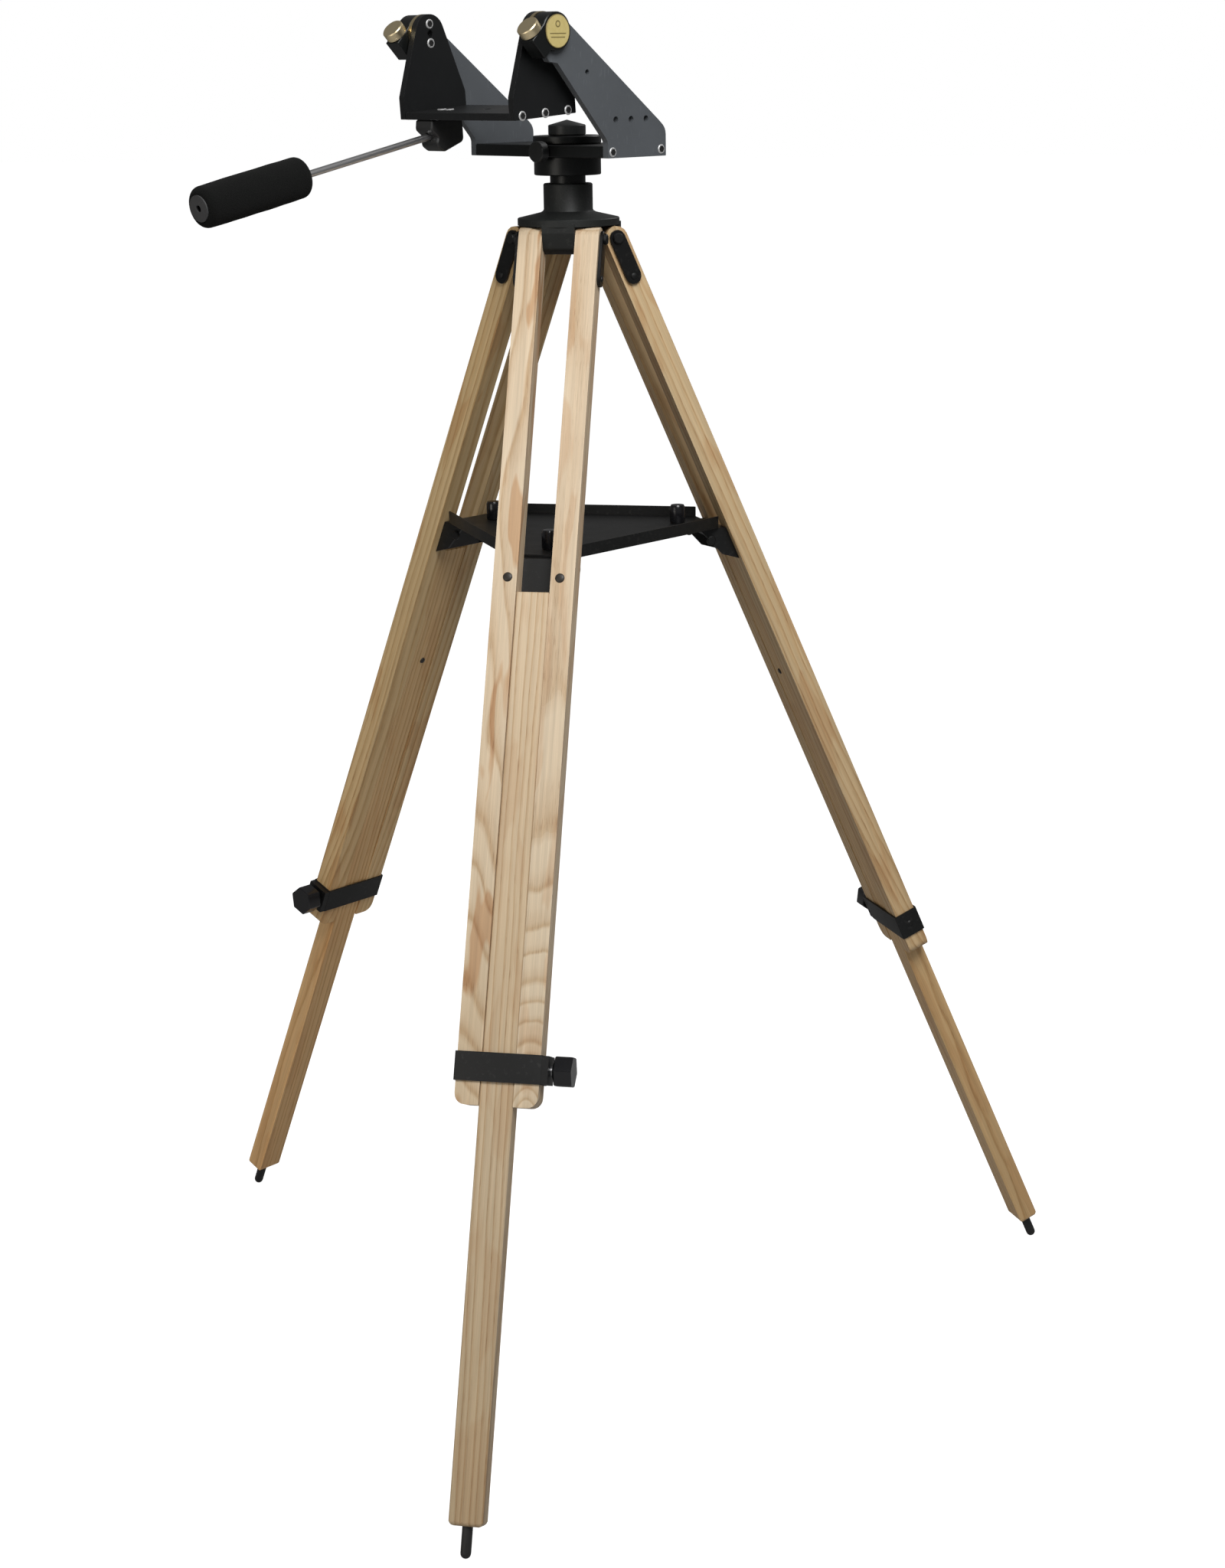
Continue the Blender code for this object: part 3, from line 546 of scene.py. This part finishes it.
def add_piece(name, mesh, where, body, slot, *surfaces, angle=32):
    data = bpy.data.meshes.new(name)
    mesh.to_mesh(data)
    mesh.free()
    for face in data.polygons:
        face.use_smooth = True
    data.set_sharp_from_angle(angle=math.radians(angle))
    for surface in surfaces:
        data.materials.append(surface)
    obj = bpy.data.objects.new(name, data)
    bpy.context.scene.collection.objects.link(obj)
    obj.matrix_world = where
    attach(obj, body)
    return obj


def ring_points(sides, radius, turn=0.0):
    return [(radius * math.cos(turn + math.tau * k / sides), radius * math.sin(turn + math.tau * k / sides))
            for k in range(sides)]


def socket_screw(radius, height, across, depth, steps=36):
    """A cap screw's head: a chamfered rim, and a hexagon socket in a second, near-black material that paints
    the shade inside the socket.
    """
    mesh = bmesh.new()
    edge = radius * 0.12
    rings = [(radius, 0.0), (radius, height - edge), (radius - edge, height)]
    loops = [[mesh.verts.new((x, y, z)) for x, y in ring_points(steps, r)] for r, z in rings]
    for low, high in zip(loops, loops[1:]):
        for k in range(steps):
            mesh.faces.new((low[k], low[(k + 1) % steps], high[(k + 1) % steps], high[k]))
    hexagon = []
    share = steps // 6
    corners = ring_points(6, across / math.sqrt(3))
    for k in range(6):
        (x0, y0), (x1, y1) = corners[k], corners[(k + 1) % 6]
        hexagon += [(x0 + (x1 - x0) * j / share, y0 + (y1 - y0) * j / share) for j in range(share)]
    rim = [mesh.verts.new((x, y, height)) for x, y in hexagon]
    floor = [mesh.verts.new((x * 0.97, y * 0.97, height - depth)) for x, y in hexagon]
    for k in range(steps):
        nxt = (k + 1) % steps
        mesh.faces.new((loops[-1][k], loops[-1][nxt], rim[nxt], rim[k]))
        wall = mesh.faces.new((rim[k], rim[nxt], floor[nxt], floor[k]))
        wall.material_index = 1
    mesh.faces.new(floor).material_index = 1
    mesh.faces.new(list(reversed(loops[0])))
    bmesh.ops.recalc_face_normals(mesh, faces=mesh.faces)
    return mesh


# ---------------------------------------------------------------- materials in use

AXIS_AT = Vector(JOINTS["azimuth_turn"]["pos_m"])
ACROSS = HEAD.col[0].to_3d()
BLACK = painted("satin_black_paint", (0.0040, 0.0042, 0.0042), 0.46)
OBLONG_BLACK = painted("oblong_plate_paint", (0.003, 0.003, 0.003), 0.36)
HUB_BLACK = painted("hub_black_paint", (0.0095, 0.0105, 0.010), 0.50, grain=600.0, depth=0.00012)
ARM_GREY = anodised("arm_anodised", (0.076, 0.083, 0.091), 0.55, metallic=0.15)
PLATE_BLACK = anodised("cradle_anodised", (0.006, 0.0065, 0.007), 0.40, metallic=0.2)
DARK = anodised("head_anodised", (0.008, 0.009, 0.009), 0.34, metallic=0.4)
STEEL = bright_steel("bright_steel", (0.62, 0.62, 0.63), 0.26)
SCREW_STEEL = bright_steel("screw_steel", (0.60, 0.60, 0.60), 0.50, metallic=0.6)
CHROME = bright_steel("rod_chrome", (0.82, 0.82, 0.83), 0.28)
# painted shade: this near-black material lines the hex sockets of the steel screws, where only shade falls
SOCKET_SHADOW_PAINT = moulded("socket_shadow", (0.006, 0.006, 0.006), 0.6)
KNOB_BLACK = moulded("knob_plastic", (0.006, 0.006, 0.007), 0.17)
CAP_BLACK = moulded("cap_plastic", (0.012, 0.013, 0.013), 0.38)
BLOCK_BLACK = moulded("block_plastic", (0.012, 0.012, 0.012), 0.42)
RUBBER = moulded("foot_rubber", (0.008, 0.008, 0.008), 0.50)
GRIP_FOAM = foam("grip_foam")
GRIP_CAP = moulded("grip_cap", (0.042, 0.042, 0.043), 0.48)
SCREW_DARK = painted("dark_screw", (0.022, 0.018, 0.014), 0.42, grain=1500.0)


def dress_tripod():
    for side, boards in WOODS.items():
        for board, grain in boards.items():
            node = f"lower_leg_{side}" if board == "lower" else f"rail_{side}_{board[-1]}"
            dress(node, ash_wood(f"ash_{side}_{board}", side, **grain))
        for part in ("pivot_bolt_{}", "collar_{}", "tray_bracket_{}"):
            dress(part.format(side), BLACK)
        for letter in "ab":
            dress(f"pivot_plate_{side}_{letter}", OBLONG_BLACK)
        dress(f"foot_{side}", RUBBER)
        dress(f"clamp_knob_{side}", KNOB_BLACK)
        dress(f"tray_knob_{side}", KNOB_BLACK)
    dress("tray", BLACK)
    dress("hub", HUB_BLACK)


def dress_head():
    for node in ("azimuth_base", "fork_base", "azimuth_disc", "housing_right", "housing_left"):
        dress(node, DARK)
    for node in ("azimuth_top_knob", "azimuth_brake_knob"):
        dress(node, CAP_BLACK)
    for node in ("cradle_plate_right", "cradle_plate_left", "platform"):
        dress(node, PLATE_BLACK)
    for side in SIDES:
        dress(f"fork_arm_{side}", ARM_GREY)
        dress(f"altitude_shaft_{side}", STEEL)
        knob = JOINTS[f"altitude_brake_knob_{side}_turn"]
        brass = turned_metal(f"brass_knob_{side}", (0.94, 0.79, 0.50), 0.36, Vector(knob["pos_m"]),
                             Vector(knob["axis"]))
        dress(f"altitude_brake_knob_{side}", brass)
        washer = turned_metal(f"brass_washer_{side}", (0.85, 0.70, 0.42), 0.26, PIVOT.translation, ACROSS)
        dress(f"thrust_washer_{side}", washer)
    dress("handle_block", BLOCK_BLACK)
    dress("handle_rod", CHROME)
    dress("grip_end", GRIP_CAP)
    face = PIVOT @ Vector((HOUSING_OUTER, 0, 0))
    dress("label_disc", label_metal("label_gold", face, (0, 0, 1)))


# ---------------------------------------------------------------- added pieces


def add_cap_screws():
    spots = []
    for side, sign in SIDES.items():
        for y, z in ARM_SCREWS_Y_Z:
            at = (sign * ARM_OUTER, y, z)
            spots.append((f"arm_screw_{side}", HEAD, at, (sign, 0, 0), "head"))
        for z in SHAFT_SCREWS_Z:
            at = (sign * CRADLE_INNER, 0, z)
            spots.append((f"shaft_screw_{side}", CRADLE, at, (-sign, 0, 0), "cradle"))
        for y in PLATE_SCREWS_Y:
            at = (sign * CRADLE_OUTER, y, PLATE_SCREW_Z)
            spots.append((f"plate_screw_{side}", CRADLE, at, (sign, 0, 0), "cradle"))
    for x in PLATFORM_SCREWS_X:
        at = (x, PLATFORM_SCREW_Y, PLATFORM_T - CRADLE_DROP)
        spots.append(("platform_screw", CRADLE, at, (0, 0, 1), "cradle"))
    for k, (name, where, at, out, body) in enumerate(spots):
        screw = socket_screw(**CAP_HEAD)
        add_piece(f"{name}_{k:02d}", screw, facing(where, at, out), body, "steel", SCREW_STEEL, SOCKET_SHADOW_PAINT)


def add_leg_screws():
    for side in LEGS:
        where = LEG[side]
        for sign, letter in ((-1, "a"), (1, "b")):
            at = facing(where, (sign * RAIL_SCREW_OUT, RAIL_DEPTH / 2, RAIL_SCREW_DOWN), (0, 1, 0))
            add_piece(f"rail_screw_{side}_{letter}", turned(BUTTON_HEAD), at, "tripod", "black", SCREW_DARK)
            at = facing(where, (sign * PLATE_OUTER, 0, PLATE_STUD_DOWN), (sign, 0, 0))
            add_piece(f"plate_stud_{side}_{letter}", turned(SMALL_HEAD), at, "tripod", "black", BLACK)
        at = facing(where, (0, -LOWER_DEPTH / 2, STOP_SCREW_DOWN), (0, -1, 0))
        add_piece(f"stop_screw_{side}", turned(SMALL_HEAD), at, f"lower_leg_{side}", "black", SCREW_DARK)


def add_foam_grip():
    """The soft grip: rounded ends, a slightly fuller middle and small dents in the foam."""
    corner = FOAM_CORNER
    quarter = [math.pi / 2 * k / CORNER_STEPS for k in range(CORNER_STEPS + 1)]
    profile = [(ROD_RADIUS + FOAM_GAP, 0.0)]
    for turn in quarter:
        profile.append((GRIP_RADIUS - corner + corner * math.sin(turn), corner - corner * math.cos(turn)))
    for k in range(1, FOAM_STEPS):
        along = k / FOAM_STEPS
        high = corner + (GRIP_LENGTH - 2 * corner) * along
        profile.append((GRIP_RADIUS + FOAM_FULLNESS * math.sin(math.pi * along), high))
    for turn in quarter:
        high = GRIP_LENGTH - corner + corner * math.sin(turn)
        profile.append((GRIP_RADIUS - corner + corner * math.cos(turn), high))
    profile.append((ROD_RADIUS + FOAM_GAP, GRIP_LENGTH))
    profile.append(profile[0])
    mesh = turned(profile, 72)
    for vert in mesh.verts:
        flat = Vector((vert.co.x, vert.co.y, 0))
        if flat.length < GRIP_RADIUS * 0.7:
            continue
        dent = noise.noise(vert.co * 70) * 0.00022 + noise.noise(vert.co * 260) * 0.00006
        vert.co += flat.normalized() * dent
    where = HANDLE @ Matrix.Translation((0, 0, GRIP_FROM))
    grip = add_piece("foam_cover", mesh, where, "cradle", "foam", GRIP_FOAM, angle=60)
    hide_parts("foam_grip")


def add_clamp_details():
    """Steel thread between each collar and its knob, a rivet on the far side, and bracket bolts."""
    for side in LEGS:
        where = LEG[side]
        at = facing(where, (COLLAR_BOSS, 0, KNOB_DOWN), (1, 0, 0))
        add_piece(f"thread_{side}", turned(STUD_THREAD), at, f"clamp_knob_{side}", "steel", STEEL)
        at = facing(where, (-COLLAR_SIDE, 0, KNOB_DOWN), (-1, 0, 0))
        add_piece(f"rivet_{side}", turned(RIVET_HEAD), at, "tripod", "black", BLACK)
        out = Vector((where.col[1].x, where.col[1].y, 0)).normalized()
        spot = Vector((AXIS_AT.x, AXIS_AT.y, BRACKET_BOLT_Z)) + out * BRACKET_BOLT_OUT
        turn = out.cross(Vector((0, 0, 1)))
        for way, letter in ((turn, "a"), (-turn, "b")):
            place = facing(Matrix.Translation(spot + way * BRACKET_HALF), (0, 0, 0), way)
            add_piece(f"bracket_bolt_{side}_{letter}", turned(BOLT_HEAD), place, "tripod", "black", BLACK)


def add_details():
    add_cap_screws()
    add_leg_screws()
    add_foam_grip()
    add_clamp_details()


# ---------------------------------------------------------------- stage


def add_camera():
    """The view that the object is rendered from."""
    data = bpy.data.cameras.new("camera")
    data.lens = CAMERA_LENS
    data.sensor_width = CAMERA_SENSOR
    data.clip_start = 0.1
    data.clip_end = 90
    camera = bpy.data.objects.new("camera", data)
    bpy.context.scene.collection.objects.link(camera)
    yaw, pitch, roll = CAMERA_YAW, CAMERA_PITCH, CAMERA_ROLL
    ahead = Vector((-math.sin(yaw) * math.cos(pitch), math.cos(yaw) * math.cos(pitch), -math.sin(pitch)))
    flat = Vector((math.cos(yaw), math.sin(yaw), 0))
    above = flat.cross(ahead)
    right = math.cos(roll) * flat + math.sin(roll) * above
    up = math.cos(roll) * above - math.sin(roll) * flat
    at = Vector((AXIS_AT.x, AXIS_AT.y, 0)) + Vector(CAMERA_OFFSET)
    camera.matrix_world = columns(right, up, -ahead, at)
    bpy.context.scene.camera = camera


def add_lamp(name, at, target, size, power, colour=(1, 1, 1)):
    data = bpy.data.lights.new(name, "AREA")
    data.shape = "RECTANGLE"
    data.size, data.size_y = size
    data.energy = power
    data.color = colour
    lamp = bpy.data.objects.new(name, data)
    bpy.context.scene.collection.objects.link(lamp)
    lamp.location = at
    lamp.rotation_euler = (Vector(target) - Vector(at)).to_track_quat("-Z", "Y").to_euler()
    return lamp


def add_stage():
    world = bpy.data.worlds.new("studio")
    bpy.context.scene.world = world
    world.use_nodes = True
    g = Graph(world.node_tree)
    back = world.node_tree.nodes["Background"]
    seen = g.add("ShaderNodeLightPath", out="Is Camera Ray")
    world.node_tree.links.new(g.between(seen, BACKDROP_LIGHT, BACKDROP_SEEN), back.inputs["Strength"])
    back.inputs["Color"].default_value = rgb(1, 1, 1)

    made, g, shader = new_material("floor_paper")
    where = object_coordinates(g)
    mottle = g.noise(where, 6.0, 3.0)
    base = g.mix(mottle, rgb(0.40, 0.40, 0.40), rgb(0.44, 0.44, 0.44))
    connect(g, shader, Base_Color=base, Roughness=0.9, Specular_IOR_Level=0.1)
    seen = g.add("ShaderNodeLightPath", out="Is Camera Ray")
    connect(g, shader, Emission_Color=rgb(1, 1, 1), Emission_Strength=g.between(seen, 0.0, FLOOR_GLOW_SEEN))
    mesh = bmesh.new()
    bmesh.ops.create_grid(mesh, x_segments=1, y_segments=1, size=FLOOR_HALF)
    data = bpy.data.meshes.new("floor")
    mesh.to_mesh(data)
    mesh.free()
    data.materials.append(made)
    floor = bpy.data.objects.new("floor", data)
    floor.location = (0, 0, FLOOR_Z)
    bpy.context.scene.collection.objects.link(floor)

    add_lamp("key", (0.8, -1.5, 2.6), (0, 0, 1.0), (1.2, 1.2), 62)
    add_lamp("fill", (-1.6, -2.4, 1.1), (-0.1, 0.1, 0.6), (1.4, 1.4), 14, (1.0, 0.95, 0.88))
    add_lamp("back", (1.2, 2.0, 2.6), (0, 0, 0.9), (1.4, 1.0), 12)
    view = bpy.context.scene.view_settings
    view.view_transform = "Standard"
    view.look = "None"


dress_tripod()
dress_head()
add_details()
add_camera()
add_stage()

bpy.context.view_layer.update()
